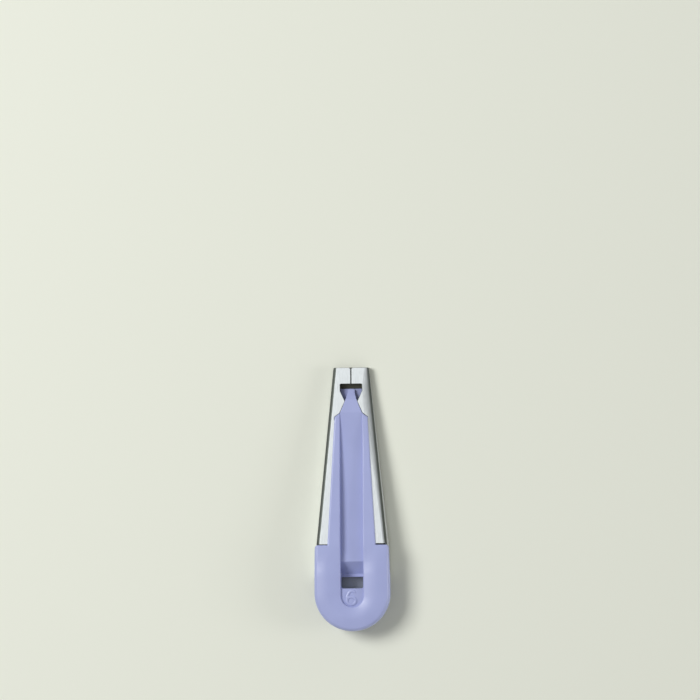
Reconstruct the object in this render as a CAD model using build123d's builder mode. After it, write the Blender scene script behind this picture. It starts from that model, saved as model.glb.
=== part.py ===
from build123d import *
import os

# Bias tape maker: a folded steel shell, a moulded web guide with its head, and a folding core.
# X runs across the tool, +Y points to the narrow tip, +Z is up, and z = 0 is the underside of the
# floor. Places along the tool are given as distances back from the tip edge.

# Folded steel shell
overall_length = 73.4
sheet = 0.4
bend_radius = 1.15
tip_width = 9.9
tip_height = 2.8
rear_width = 19.8
rear_height = 7.4
lip_end = 49.2

# Bridge, window and ears at the tip
bridge_length = 4.5
slit_width = 0.15
slit_corner_radius = 0.3
tip_window_width = 6.1
tip_window_straight = 1.8
tip_window_radius = 0.5
neck_at = 9.2
neck_width = 3.9
neck_radius = 0.4

# Rear of the shell: ears with snap holes, and the floor that runs on under the head
ear_height = 6.2
ear_end = 56.0
wall_end = 59.5
floor_end = 64.0
floor_tongue_width = 17.0
floor_tongue_radius = 6.0
awl_slot_start = 17.0
awl_slot_length = 27.0
awl_slot_width = 2.2

# Rails and tongue of the guide
rail_front_at = 13.5
rail_front_width = 8.85
rail_front_radius = 0.2
rail_rear_width = 13.6
rail_proud = 0.5
rail_rounding = 0.25
tongue_tip_at = 5.9
tongue_tip_width = 1.9
tongue_tip_step = 0.25
tongue_waist_at = 7.9
tongue_waist_width = 2.5
tongue_crest_at = 9.0
tongue_root_at = 12.4

# Web channel, ramp, web window and size recess
channel_width = 6.3
channel_depth = 2.0
channel_plate = 0.9
ramp_start = 54.0
ramp_length = 4.2
ramp_depth = 4.9
ramp_cheek = 0.8
web_window_length = 3.2
web_window_radius = 0.6
recess_length = 5.2
recess_depth = 1.2

# Head
head_overhang = 0.65
head_gap = 0.15
head_level_at = 57.0
head_shoulder_radius = 0.9
head_crease_radius = 20.0
head_rim_radius = 0.9
head_lower_radius = 0.4
entry_height = 4.4

# Grooves, keel, pegs and snap bosses
fit = 0.05
groove_depth = 0.35
groove_start = 14.5
keel_end = 50.0
peg_diameter = 1.5
peg_front_at = 14.5
peg_rear_at = 47.0
boss_diameter = 1.1
boss_at = 52.6
pocket_clearance = 0.3

# Folding core, with the room for fabric round it
fabric_gap = 0.6
core_end = 57.4
core_sole_end = 50.0
core_rear_thickness = 0.8
core_rear_radius = 5.0
core_edge_radius = 0.25

# Worked out from the sizes above
tip_y = overall_length / 2
slope = (rear_height - tip_height) / lip_end
rear_half = rear_width / 2
head_half = rear_half + head_overhang
head_start = lip_end + head_gap
head_under = sheet + entry_height
head_centre = overall_length - head_half
channel_half = channel_width / 2
ramp_end = ramp_start + ramp_length
web_window_end = ramp_end + web_window_length
core_under = sheet + fabric_gap
above = 2 * rear_height
margin = 1.0


def y_at(back):
    """Y of a place that lies this far back from the tip edge."""
    return tip_y - back


def lip_height(back):
    """Height of the lips' upper face."""
    return tip_height + slope * back


def rail_top(back):
    """Height of the rails and of the head's sloping front."""
    return lip_height(back) + rail_proud


def rail_half(back):
    """Half the width across the outer sides of the rails."""
    grown = (rail_rear_width - rail_front_width) * (back - rail_front_at) / (lip_end - rail_front_at)
    return (rail_front_width + grown) / 2


def channel_floor(back):
    """Height of the web channel's floor, flush with the steel at the tongue's root."""
    first = lip_height(tongue_root_at)
    last = rail_top(ramp_start) - channel_depth
    return first + (last - first) * (back - tongue_root_at) / (ramp_start - tongue_root_at)


def guide_under(back):
    """Height of the guide's underside between the tip and the head."""
    first = channel_floor(tongue_root_at) - channel_plate
    return first + (head_under - first) * (back - tongue_root_at) / (head_start - tongue_root_at)


def core_top(back):
    """Height of the core's upper face, a fabric gap below the guide."""
    return guide_under(back) - fabric_gap


def inner_half(back):
    """Half the width between the side walls."""
    return (tip_width + (rear_width - tip_width) * min(back, lip_end) / lip_end) / 2 - sheet


head_top = rail_top(head_level_at)
ramp_bottom = head_top - ramp_depth
ramp_under = ramp_bottom - channel_plate
tongue_tip_top = core_top(tongue_tip_at) + tongue_tip_step
ear_slant = (wall_end - ear_end) / (ear_height - sheet)
pocket_end = ear_end + ear_slant * (ear_height - head_under) + pocket_clearance
boss_height = (head_under + ear_height) / 2

os.makedirs("parts", exist_ok=True)

# Steel shell: a tapering rounded tube, open on top, with a U-shaped rear and a floor tongue
with BuildPart() as folder_shell:
    for back, width, height in ((0, tip_width, tip_height), (lip_end, rear_width, rear_height)):
        with BuildSketch(Plane((0, y_at(back), 0), x_dir=(1, 0, 0), z_dir=(0, -1, 0))):
            with Locations((0, height / 2)):
                RectangleRounded(width, height, bend_radius)
    loft(ruled=True)
    for back, width, height in ((0, tip_width, tip_height), (lip_end, rear_width, rear_height)):
        with BuildSketch(Plane((0, y_at(back), 0), x_dir=(1, 0, 0), z_dir=(0, -1, 0))):
            with Locations((0, height / 2)):
                RectangleRounded(width - 2 * sheet, height - 2 * sheet, bend_radius - sheet)
    loft(ruled=True, mode=Mode.SUBTRACT)

    # Rear walls and floor behind the lips
    with BuildSketch(Plane((0, y_at(lip_end), 0), x_dir=(1, 0, 0), z_dir=(0, -1, 0))):
        with Locations((0, rear_height / 2)):
            RectangleRounded(rear_width, rear_height, bend_radius)
            RectangleRounded(
                rear_width - 2 * sheet, rear_height - 2 * sheet, bend_radius - sheet, mode=Mode.SUBTRACT
            )
        with Locations((0, ear_height + rear_height)):
            Rectangle(2 * rear_width, 2 * rear_height, mode=Mode.SUBTRACT)
    extrude(amount=floor_end - lip_end)

    # Slanted rear edges of the walls
    with BuildSketch(Plane.YZ):
        with BuildLine():
            Polyline(
                (y_at(ear_end - ear_slant), ear_height + margin),
                (y_at(wall_end), sheet),
                (y_at(floor_end + margin), sheet),
                (y_at(floor_end + margin), ear_height + margin),
                close=True,
            )
        make_face()
    extrude(amount=rear_width, both=True, mode=Mode.SUBTRACT)

    # Floor tongue with its round end
    with BuildSketch():
        with BuildLine():
            Polyline(
                (0, y_at(floor_end + margin)),
                (rear_width, y_at(floor_end + margin)),
                (rear_width, y_at(wall_end)),
                (floor_tongue_width / 2, y_at(wall_end)),
            )
            FilletPolyline(
                (floor_tongue_width / 2, y_at(wall_end)),
                (floor_tongue_width / 2, y_at(floor_end)),
                (0, y_at(floor_end)),
                radius=min(floor_tongue_radius, floor_end - wall_end - fit),
            )
            Line((0, y_at(floor_end)), (0, y_at(floor_end + margin)))
        make_face()
        mirror(about=Plane.YZ)
    extrude(amount=bend_radius, both=True, mode=Mode.SUBTRACT)

    # Opening in the top: tip window, neck between the ears, and the gap between the lips
    lip_inset = groove_depth - fit
    with BuildSketch(Plane.XY.offset(tip_height / 2)):
        with BuildLine():
            FilletPolyline(
                (0, y_at(bridge_length)),
                (tip_window_width / 2, y_at(bridge_length)),
                (tip_window_width / 2, y_at(bridge_length + tip_window_straight)),
                (neck_width / 2, y_at(neck_at)),
                (channel_half + fit, y_at(tongue_root_at - fit)),
                (rail_front_width / 2 + fit, y_at(rail_front_at - fit)),
                (rail_half(groove_start) + fit, y_at(groove_start)),
                radius=[tip_window_radius, tip_window_radius, neck_radius, neck_radius, rail_front_radius],
            )
            Polyline(
                (rail_half(groove_start) + fit, y_at(groove_start)),
                (rail_half(groove_start) - lip_inset, y_at(groove_start)),
                (rail_half(lip_end) - lip_inset, y_at(lip_end)),
                (0, y_at(lip_end)),
            )
            mirror(about=Plane.YZ)
        make_face()
    extrude(amount=above, mode=Mode.SUBTRACT)

    # Slit where the two halves of the bridge meet, with softened corners at the tip edge
    with BuildSketch(Plane.XY.offset(tip_height / 2)):
        with Locations((0, y_at(bridge_length / 2))):
            Rectangle(slit_width, bridge_length + margin)
    extrude(amount=above, mode=Mode.SUBTRACT)
    tip_edges = folder_shell.edges().filter_by(Axis.Z).filter_by_position(Axis.Y, tip_y - fit, tip_y + fit)
    fillet(tip_edges.filter_by_position(Axis.X, -slit_width, slit_width), slit_corner_radius)

    # Holes for the head's snap bosses, and the slot for pushing the fabric along with an awl
    with BuildSketch(Plane.YZ):
        with Locations((y_at(boss_at), boss_height)):
            Circle(boss_diameter / 2 + fit)
    extrude(amount=rear_width, both=True, mode=Mode.SUBTRACT)
    with BuildSketch():
        with Locations((0, y_at(awl_slot_start + awl_slot_length / 2))):
            SlotOverall(awl_slot_length, awl_slot_width, rotation=90)
    extrude(amount=sheet, both=True, mode=Mode.SUBTRACT)

folder_shell.part.label = "folder_shell"
export_step(folder_shell.part, "parts/folder_shell.step")

# Grooves that take the lips' inner edges, as a solid to be cut from the rails
with BuildPart() as lip_grooves:
    with BuildSketch():
        with BuildLine():
            Polyline(
                (rail_half(groove_start) - groove_depth, y_at(groove_start - 2 * fit)),
                (rear_width, y_at(groove_start - 2 * fit)),
                (rear_width, y_at(head_start)),
                (rail_half(head_start) - groove_depth, y_at(head_start)),
                close=True,
            )
        make_face()
        mirror(about=Plane.YZ)
    extrude(amount=above)
    with BuildSketch(Plane.YZ):
        with BuildLine():
            Polyline(
                (y_at(0), lip_height(0) + fit),
                (y_at(head_start + margin), lip_height(head_start + margin) + fit),
                (y_at(head_start + margin), lip_height(head_start + margin) - sheet - fit),
                (y_at(0), lip_height(0) - sheet - fit),
                close=True,
            )
        make_face()
    extrude(amount=2 * rear_width, both=True, mode=Mode.INTERSECT)

# Rails, before the channel is cut: they widen and rise towards the head
with BuildPart() as rail_block:
    for back in (tongue_root_at, head_start + head_rim_radius):
        rail_height = rail_top(back) - guide_under(back)
        with BuildSketch(Plane((0, y_at(back), 0), x_dir=(1, 0, 0), z_dir=(0, -1, 0))):
            with Locations((0, guide_under(back) + rail_height / 2)):
                Rectangle(2 * rail_half(back), rail_height)
    loft(ruled=True)
    with BuildSketch():
        with BuildLine():
            Polyline(
                (channel_half, y_at(tongue_root_at)),
                (rail_front_width / 2, y_at(rail_front_at)),
                (rear_width, y_at(rail_front_at)),
                (rear_width, y_at(tongue_root_at - margin)),
                (channel_half, y_at(tongue_root_at - margin)),
                close=True,
            )
        make_face()
        mirror(about=Plane.YZ)
    extrude(amount=above, mode=Mode.SUBTRACT)
    rail_tops = rail_block.faces().filter_by(lambda face: face.normal_at().Z > 0.9).edges()
    fillet(rail_tops.filter_by(lambda edge: abs(edge.center().X) > channel_half / 2), rail_rounding)

# Web guide: head, rails, tongue, channel and keel in one moulding
with BuildPart() as web_guide:
    with BuildSketch(Plane.XY.offset(head_under)):
        with BuildLine():
            FilletPolyline(
                (0, y_at(head_start)),
                (head_half, y_at(head_start)),
                (head_half, y_at(head_centre)),
                radius=head_shoulder_radius,
            )
            RadiusArc((head_half, y_at(head_centre)), (0, y_at(overall_length)), head_half)
            mirror(about=Plane.YZ)
        make_face()
    extrude(amount=above)

    # The head's top: level at the rear, and sloping down in front in line with the rails
    with BuildSketch(Plane.YZ):
        with BuildLine():
            FilletPolyline(
                (y_at(lip_end - margin), rail_top(lip_end - margin)),
                (y_at(head_level_at), head_top),
                (y_at(overall_length + margin), head_top),
                radius=head_crease_radius,
            )
            Polyline(
                (y_at(overall_length + margin), head_top),
                (y_at(overall_length + margin), 2 * above),
                (y_at(lip_end - margin), 2 * above),
                (y_at(lip_end - margin), rail_top(lip_end - margin)),
            )
        make_face()
    extrude(amount=rear_width, both=True, mode=Mode.SUBTRACT)
    tops = web_guide.faces().filter_by(lambda face: face.normal_at().Z > 0.9).edges()
    front = tops.filter_by_position(Axis.Y, y_at(head_start) - fit, y_at(head_start) + fit)
    sides = tops.filter_by(lambda edge: abs(edge.center().X) > fit)
    fillet(front + sides.filter_by(lambda edge: edge not in front), head_rim_radius)
    fillet(web_guide.faces().sort_by(Axis.Z)[0].edges(), head_lower_radius)
    add(rail_block.part)

    # Tongue that narrows and drops from the channel's floor to the core's front edge
    with BuildSketch(Plane.XY.offset(core_top(tongue_tip_at))):
        with BuildLine():
            Polyline(
                (0, y_at(tongue_tip_at)),
                (tongue_tip_width / 2, y_at(tongue_tip_at)),
                (tongue_waist_width / 2, y_at(tongue_waist_at)),
                (channel_half, y_at(tongue_root_at)),
                (channel_half, y_at(tongue_root_at + margin)),
                (0, y_at(tongue_root_at + margin)),
            )
            mirror(about=Plane.YZ)
        make_face()
    extrude(amount=rail_top(tongue_root_at + margin) - core_top(tongue_tip_at))
    with BuildSketch(Plane.YZ):
        with BuildLine():
            Polyline(
                (y_at(0), tongue_tip_top),
                (y_at(tongue_tip_at), tongue_tip_top),
                (y_at(tongue_crest_at), lip_height(tongue_crest_at)),
                (y_at(tongue_root_at), channel_floor(tongue_root_at)),
                (y_at(tongue_root_at), above),
                (y_at(0), above),
                close=True,
            )
        make_face()
    extrude(amount=rear_width, both=True, mode=Mode.SUBTRACT)
    with BuildSketch(Plane.YZ):
        with BuildLine():
            Polyline(
                (y_at(0), guide_under(0)),
                (y_at(tongue_root_at + margin), guide_under(tongue_root_at + margin)),
                (y_at(tongue_root_at + margin), 0),
                (y_at(0), 0),
                close=True,
            )
        make_face()
    extrude(amount=rear_width, both=True, mode=Mode.SUBTRACT)

    # Ramp block under the head, with a cheek each side
    with BuildSketch(Plane.YZ):
        with BuildLine():
            Polyline(
                (y_at(ramp_start), head_under),
                (y_at(ramp_end), ramp_under),
                (y_at(ramp_end), head_under + head_lower_radius),
                (y_at(ramp_start), head_under + head_lower_radius),
                close=True,
            )
        make_face()
    extrude(amount=channel_half + ramp_cheek, both=True)

    # Web channel with its ramp, the window behind it and the recess for the size number
    with BuildSketch(Plane.YZ):
        with BuildLine():
            Polyline(
                (y_at(tongue_root_at), channel_floor(tongue_root_at)),
                (y_at(ramp_start), channel_floor(ramp_start)),
                (y_at(ramp_end), ramp_bottom),
                (y_at(ramp_end), above),
                (y_at(tongue_root_at), above),
                close=True,
            )
        make_face()
    extrude(amount=channel_half, both=True, mode=Mode.SUBTRACT)
    with BuildSketch():
        with BuildLine():
            Line((0, y_at(ramp_end)), (channel_half, y_at(ramp_end)))
            FilletPolyline(
                (channel_half, y_at(ramp_end)),
                (channel_half, y_at(web_window_end)),
                (0, y_at(web_window_end)),
                radius=web_window_radius,
            )
            mirror(about=Plane.YZ)
        make_face()
    extrude(amount=above, mode=Mode.SUBTRACT)
    with BuildSketch(Plane.XY.offset(head_top - recess_depth)):
        with Locations((0, y_at(web_window_end + (recess_length - channel_half) / 2))):
            Rectangle(channel_width, recess_length - channel_half)
        with Locations((0, y_at(web_window_end + recess_length - channel_half))):
            Circle(channel_half)
    extrude(amount=above, mode=Mode.SUBTRACT)

    # Pockets beside the head's front block for the steel ears, and grooves for the lips
    with BuildSketch():
        with BuildLine():
            Polyline(
                (rear_half - sheet - fit, y_at(lip_end - margin)),
                (rear_width, y_at(lip_end - margin)),
                (rear_width, y_at(pocket_end)),
                (rear_half - sheet - fit, y_at(pocket_end)),
                close=True,
            )
        make_face()
        mirror(about=Plane.YZ)
    extrude(amount=ear_height + 2 * fit, mode=Mode.SUBTRACT)
    add(lip_grooves.part, mode=Mode.SUBTRACT)

    # Snap bosses in the ears' holes
    with BuildSketch(Plane.YZ.offset(rear_half - 2 * sheet)):
        with Locations((y_at(boss_at), boss_height)):
            Circle(boss_diameter / 2)
    extrude(amount=2 * sheet - fit)
    with BuildSketch(Plane.YZ.offset(2 * sheet - rear_half)):
        with Locations((y_at(boss_at), boss_height)):
            Circle(boss_diameter / 2)
    extrude(amount=fit - 2 * sheet)

    # Keel that carries the core, and the two pegs that hold it
    with BuildSketch(Plane.YZ):
        with BuildLine():
            Polyline(
                (y_at(tongue_tip_at), core_top(tongue_tip_at)),
                (y_at(tongue_tip_at), tongue_tip_top),
                (y_at(tongue_waist_at), guide_under(tongue_waist_at) + 2 * fit),
                (y_at(keel_end), guide_under(keel_end) + 2 * fit),
                (y_at(keel_end), core_top(keel_end)),
                close=True,
            )
        make_face()
    extrude(amount=tongue_tip_width / 2, both=True)
    for back in (peg_front_at, peg_rear_at):
        with BuildSketch(Plane.XY.offset(core_under + fit)):
            with Locations((0, y_at(back))):
                Circle(peg_diameter / 2)
        extrude(amount=guide_under(back) - core_under)

web_guide.part.label = "web_guide"
export_step(web_guide.part, "parts/web_guide.step")

# Folding core: a flat wedge inside the shell, a fabric gap away from floor, walls and lips
with BuildPart() as folding_core:
    for back in (tongue_tip_at, head_start):
        core_height = core_top(back) - core_under
        with BuildSketch(Plane((0, y_at(back), 0), x_dir=(1, 0, 0), z_dir=(0, -1, 0))):
            with Locations((0, core_under + core_height / 2)):
                RectangleRounded(2 * (inner_half(back) - fabric_gap), core_height, core_edge_radius)
    loft(ruled=True)
    extrude(folding_core.faces().sort_by(Axis.Y)[0], amount=core_end - head_start)

    # Round rear corners
    core_half = inner_half(head_start) - fabric_gap
    with BuildSketch():
        with BuildLine():
            Polyline(
                (0, y_at(core_end)),
                (0, y_at(core_end + margin)),
                (rear_width, y_at(core_end + margin)),
                (rear_width, y_at(core_end - core_rear_radius)),
                (core_half, y_at(core_end - core_rear_radius)),
            )
            RadiusArc(
                (core_half, y_at(core_end - core_rear_radius)),
                (core_half - core_rear_radius, y_at(core_end)),
                core_rear_radius,
            )
            Line((core_half - core_rear_radius, y_at(core_end)), (0, y_at(core_end)))
        make_face()
        mirror(about=Plane.YZ)
    extrude(amount=above, mode=Mode.SUBTRACT)

    # Upper face, dropping under the ramp, and the sole that sweeps up at the rear
    ramp_fall = (head_under - ramp_under) / ramp_length
    core_ceiling = core_top(head_start)
    drop_at = ramp_start + (head_under - core_ceiling - fit) / ramp_fall
    core_rear_top = core_ceiling - ramp_fall * (core_end - drop_at)
    with BuildSketch(Plane.YZ):
        with BuildLine():
            Polyline(
                (y_at(drop_at), core_ceiling),
                (y_at(core_end), core_rear_top),
                (y_at(core_end + margin), core_rear_top),
                (y_at(core_end + margin), core_ceiling + margin),
                (y_at(drop_at), core_ceiling + margin),
                close=True,
            )
        make_face()
        with BuildLine():
            Polyline(
                (y_at(core_sole_end), core_under),
                (y_at(core_end), core_rear_top - core_rear_thickness),
                (y_at(core_end + margin), core_rear_top - core_rear_thickness),
                (y_at(core_end + margin), 0),
                (y_at(core_sole_end), 0),
                close=True,
            )
        make_face()
    extrude(amount=rear_width, both=True, mode=Mode.SUBTRACT)

    # Holes for the keel's pegs
    with BuildSketch():
        with Locations((0, y_at(peg_front_at)), (0, y_at(peg_rear_at))):
            Circle(peg_diameter / 2 + fit)
    extrude(amount=above, mode=Mode.SUBTRACT)

folding_core.part.label = "folding_core"
export_step(folding_core.part, "parts/folding_core.step")
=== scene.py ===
import math

import bmesh
import bpy
from mathutils import Matrix, Vector


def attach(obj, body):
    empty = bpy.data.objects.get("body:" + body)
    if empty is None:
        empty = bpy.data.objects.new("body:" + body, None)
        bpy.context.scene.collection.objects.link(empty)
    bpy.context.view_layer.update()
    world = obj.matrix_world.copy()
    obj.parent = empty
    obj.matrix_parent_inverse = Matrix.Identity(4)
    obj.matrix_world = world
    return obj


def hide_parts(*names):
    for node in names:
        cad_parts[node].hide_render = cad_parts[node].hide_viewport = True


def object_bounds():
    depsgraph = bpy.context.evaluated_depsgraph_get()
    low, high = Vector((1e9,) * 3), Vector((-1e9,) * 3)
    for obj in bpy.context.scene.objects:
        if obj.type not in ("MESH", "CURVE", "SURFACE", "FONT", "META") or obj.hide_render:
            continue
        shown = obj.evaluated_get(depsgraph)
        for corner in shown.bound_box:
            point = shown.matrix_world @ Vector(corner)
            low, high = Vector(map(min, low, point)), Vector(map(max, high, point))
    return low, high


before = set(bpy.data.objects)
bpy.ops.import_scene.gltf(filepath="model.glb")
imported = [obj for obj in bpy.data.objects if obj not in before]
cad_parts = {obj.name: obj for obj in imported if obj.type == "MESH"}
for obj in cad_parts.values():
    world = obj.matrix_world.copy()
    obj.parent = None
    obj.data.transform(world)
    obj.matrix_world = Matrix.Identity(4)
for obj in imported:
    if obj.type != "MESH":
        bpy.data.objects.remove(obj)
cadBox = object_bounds()
print("frame loaded", sorted(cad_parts))

# Meshes are made in millimetres and shrunk to metres when a piece is finished.
# A place along the tool is its distance back from the tip edge.
mm = 0.001
tipY = cadBox[1].y / mm
headEnd = tipY - cadBox[0].y / mm
quarter = math.pi / 2

toolSizes = {
    "tipWidth": 9.9,
    "tipHeight": 2.8,
    "rearWidth": 19.8,
    "rearHeight": 7.4,
    "sheet": 0.4,
    "bendRadius": 1.15,
    "lipEnd": 49.2,
    "fit": 0.05,
    "railFront": 13.75,
    "railFrontHalf": 4.62,
    "railRearHalf": 6.75,
    "railProud": 0.5,
    "channelHalf": 3.15,
    "tongueRoot": 12.7,
    "tongueTip": 5.9,
    "grooveDepth": 0.35,
    "grooveStart": 14.5,
    "headFront": 49.35,
    "headUnder": 4.8,
    "frontUnder": 3.07,
    "noseDrop": 0.7,
    "noseDropEnd": 16.0,
    "fabricGap": 0.6,
    "keelHalf": 0.95,
    "over": 1.0,  # how far a cutter reaches past what it cuts
    "hair": 0.01,  # keeps faces of joined solids out of one plane
    "roundLimit": 0.45,  # the share of a thin piece's height that a rounding may take
}

meshCare = {
    "samePoint": 0.00001,
    "onMiddle": 0.000001,
    "weld": 0.004,
    "thinnest": 0.002,
    "splitWeld": 0.0012,
    "plainCorners": 4,
    "bevelSegments": 2,
    "normalWeight": 80,
}


def lipHeight(back):
    t = toolSizes
    return t["tipHeight"] + (t["rearHeight"] - t["tipHeight"]) * back / t["lipEnd"]


def railTop(back):
    return lipHeight(back) + toolSizes["railProud"]


def railHalf(back):
    t = toolSizes
    grown = (t["railRearHalf"] - t["railFrontHalf"]) / (t["lipEnd"] - t["railFront"])
    return t["railFrontHalf"] + grown * (back - t["railFront"])


def shareAlong(start, end, value):
    return min(max((value - start) / (end - start), 0), 1)


def smoothStep(start, end, value):
    share = shareAlong(start, end, value)
    return share * share * (3 - 2 * share)


def spaced(start, end, steps):
    # evenly spaced places after the start, up to the end
    return [start + (end - start) * k / steps for k in range(1, steps + 1)]


def sweepAngles(steps, sweep, start=0.0):
    # both ends included
    return [start + sweep * k / steps for k in range(steps + 1)]


def circleAngles(steps):
    return [math.tau * k / steps for k in range(steps)]


def arcPoints(x, y, wide, high, angles):
    return [(x + wide * math.cos(angle), y + high * math.sin(angle)) for angle in angles]


def place(x, back, z):
    return (x, tipY - back, z)


def newObject(name, mesh):
    made = bpy.data.objects.new(name, mesh)
    bpy.context.scene.collection.objects.link(made)
    return made


def solidFrom(name, loops, cappedEnds=True):
    # a closed solid through loops that have as many points each
    build = bmesh.new()
    rings = [[build.verts.new(point) for point in loop] for loop in loops]
    count = len(rings[0])
    for ring, following in zip(rings, rings[1:]):
        for i in range(count):
            after = (i + 1) % count
            build.faces.new((ring[i], ring[after], following[after], following[i]))
    if cappedEnds:
        build.faces.new(rings[0][::-1])
        build.faces.new(rings[-1])
    bmesh.ops.remove_doubles(build, verts=build.verts, dist=meshCare["samePoint"])
    bmesh.ops.recalc_face_normals(build, faces=build.faces)
    mesh = bpy.data.meshes.new(name)
    build.to_mesh(mesh)
    build.free()
    return newObject(name, mesh)


def prismUp(name, outline, low, high):
    # outline in (x, back)
    return solidFrom(name, [[place(x, back, z) for x, back in outline] for z in (low, high)])


def prismAcross(name, outline, left, right):
    # outline in (back, z)
    return solidFrom(name, [[place(x, back, z) for back, z in outline] for x in (left, right)])


def roundedCorners(points, steps=6):
    # points are (x, y, radius); a corner with a radius becomes an arc
    made = []
    for i, (x, y, radius) in enumerate(points):
        corner = Vector((x, y))
        if not radius:
            made.append(corner)
            continue
        before = (Vector(points[i - 1][:2]) - corner).normalized()
        after = (Vector(points[(i + 1) % len(points)][:2]) - corner).normalized()
        half = before.angle(after) / 2
        centre = corner + (before + after).normalized() * (radius / math.sin(half))
        start = corner + before * (radius / math.tan(half)) - centre
        end = corner + after * (radius / math.tan(half)) - centre
        swing = math.atan2(start.x * end.y - start.y * end.x, start.dot(end))
        for angle in sweepAngles(steps, swing):
            made.append(centre + Matrix.Rotation(angle, 2) @ start)
    return made


def bothSides(outline):
    # an outline given for x > 0, from the middle line to the middle line
    middle = meshCare["onMiddle"]
    return list(outline) + [(-x, back) for x, back in reversed(outline) if abs(x) > middle]


def settle(made):
    # modifiers become a plain mesh
    depsgraph = bpy.context.evaluated_depsgraph_get()
    mesh = bpy.data.meshes.new_from_object(made.evaluated_get(depsgraph))
    made.modifiers.clear()
    made.data = mesh


def combine(base, others, operation):
    for other in others:
        step = base.modifiers.new(operation.lower(), "BOOLEAN")
        step.operation = operation
        step.solver = "EXACT"
        step.object = other
    settle(base)
    for other in others:
        bpy.data.objects.remove(other)


def reworkMesh(made, work):
    build = bmesh.new()
    build.from_mesh(made.data)
    work(build)
    build.to_mesh(made.data)
    build.free()


def dropSlivers(build):
    bmesh.ops.remove_doubles(build, verts=build.verts, dist=meshCare["weld"])
    bmesh.ops.dissolve_degenerate(build, edges=build.edges, dist=meshCare["thinnest"])


def splitManySided(build):
    # flat faces with many corners become well-shaped triangles
    bmesh.ops.remove_doubles(build, verts=build.verts, dist=meshCare["splitWeld"])
    wide = [face for face in build.faces if len(face.verts) > meshCare["plainCorners"]]
    bmesh.ops.triangulate(build, faces=wide, ngon_method="BEAUTY")


def finishPiece(made, node, material, sharpDegrees, edgeRound=0.0):
    # soft edges, weighted normals, metres, and the fixed frame's calls
    sharpAngle = math.radians(sharpDegrees)
    reworkMesh(made, dropSlivers)
    made.data.shade_smooth()
    if edgeRound:
        bevel = made.modifiers.new("edges", "BEVEL")
        bevel.limit_method = "ANGLE"
        bevel.angle_limit = sharpAngle
        bevel.width = edgeRound
        bevel.segments = meshCare["bevelSegments"]
        bevel.use_clamp_overlap = False
        settle(made)
    reworkMesh(made, splitManySided)
    made.data.set_sharp_from_angle(angle=sharpAngle)
    weigh = made.modifiers.new("normals", "WEIGHTED_NORMAL")
    weigh.keep_sharp = True
    weigh.weight = meshCare["normalWeight"]
    settle(made)
    made.data.transform(Matrix.Scale(mm, 4))
    if material:
        made.data.materials.clear()
        made.data.materials.append(material)
    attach(made, "root")
    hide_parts(node)
    print("finished", made.name, len(made.data.polygons), "faces")


# Materials

steelFinish = {
    "colour": (0.50, 0.528, 0.538, 1),
    # painted shade: the bends are painted dark, standing in for the dark reflections along the
    # tool's outline
    "paintedBendShade": (0.10, 0.11, 0.10, 1),
    # a painted tone for the upright walls, set by the way they face
    "paintedWallTone": (0.60, 0.625, 0.63, 1),
    # how much darker the lamp-side bend is painted, as shade against its glare
    "lampSideShade": 0.36,
    "flatBeyond": (0.86, 0.9965),
    "wallWithin": (0.12, 0.35),
    "roughness": 0.48,
    "bendRoughness": 0.16,
    "bendWithin": (0.9, 0.99),
    "grainScale": (7000.0, 140.0, 7000.0),
    "grainNoise": (3, 0.6),  # detail and roughness
    "grainBand": (0.3, 0.7),
    "grainShade": (0.86, 1.06),
    "grainGloss": (-0.07, 0.07),
    "grainDepth": 0.0000010,
    "smudgeScale": 240.0,
    "smudgeBand": (0.35, 0.65),
    "smudgeGloss": (-0.03, 0.04),
}

plasticFinish = {
    "colour": (0.352, 0.39, 0.655, 1),
    "paler": (0.37, 0.41, 0.68, 1),
    "flowScale": 130.0,
    "flowBand": (0.35, 0.65),
    "roughness": 0.33,
    "sparkScale": 9000.0,
    "sparkNoise": (2, 0.6),
    "sparkBand": (0.3, 0.7),
    "sparkGloss": (-0.05, 0.06),
    "sparkDepth": 0.0000030,
}


def addNode(tree, kind, feeds=None, **values):
    # each fed input takes a link or a plain value
    made = tree.nodes.new(kind)
    for key, value in values.items():
        setattr(made, key, value)
    for name, source in (feeds or {}).items():
        if isinstance(source, bpy.types.NodeSocket):
            tree.links.new(source, made.inputs[name])
        else:
            made.inputs[name].default_value = source
    return made


def mathNode(tree, operation, *sources):
    feeds = dict(enumerate(sources))
    return addNode(tree, "ShaderNodeMath", feeds, operation=operation).outputs[0]


def blend(tree, share, first, second, kind="MIX"):
    feeds = {"Fac": share, "Color1": first, "Color2": second}
    return addNode(tree, "ShaderNodeMixRGB", feeds, blend_type=kind).outputs["Color"]


def remap(tree, source, fromRange, toRange):
    names = ("Value", "From Min", "From Max", "To Min", "To Max")
    feeds = dict(zip(names, (source, *fromRange, *toRange)))
    return addNode(tree, "ShaderNodeMapRange", feeds).outputs["Result"]


def coordinates(tree, kind):
    return addNode(tree, "ShaderNodeTexCoord").outputs[kind]


def axesOf(tree, vector):
    return addNode(tree, "ShaderNodeSeparateXYZ", {0: vector}).outputs


def around(level, spread):
    return [level + part for part in spread]


def objectNoise(tree, scale, detail=2, roughness=0.5):
    feeds = {"Vector": coordinates(tree, "Object"), "Scale": scale}
    scaled = addNode(tree, "ShaderNodeMapping", feeds).outputs["Vector"]
    feeds = {"Vector": scaled, "Scale": 1, "Detail": detail, "Roughness": roughness}
    return addNode(tree, "ShaderNodeTexNoise", feeds).outputs["Fac"]


def bump(tree, height, depth):
    feeds = {"Height": height, "Distance": depth, "Strength": 1}
    return addNode(tree, "ShaderNodeBump", feeds).outputs["Normal"]


def startMaterial(name):
    material = bpy.data.materials.new(name)
    material.use_nodes = True
    material.node_tree.nodes.clear()
    return material, material.node_tree


def finishMaterial(tree, feeds):
    shader = addNode(tree, "ShaderNodeBsdfPrincipled", feeds)
    addNode(tree, "ShaderNodeOutputMaterial", {"Surface": shader.outputs["BSDF"]})


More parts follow.
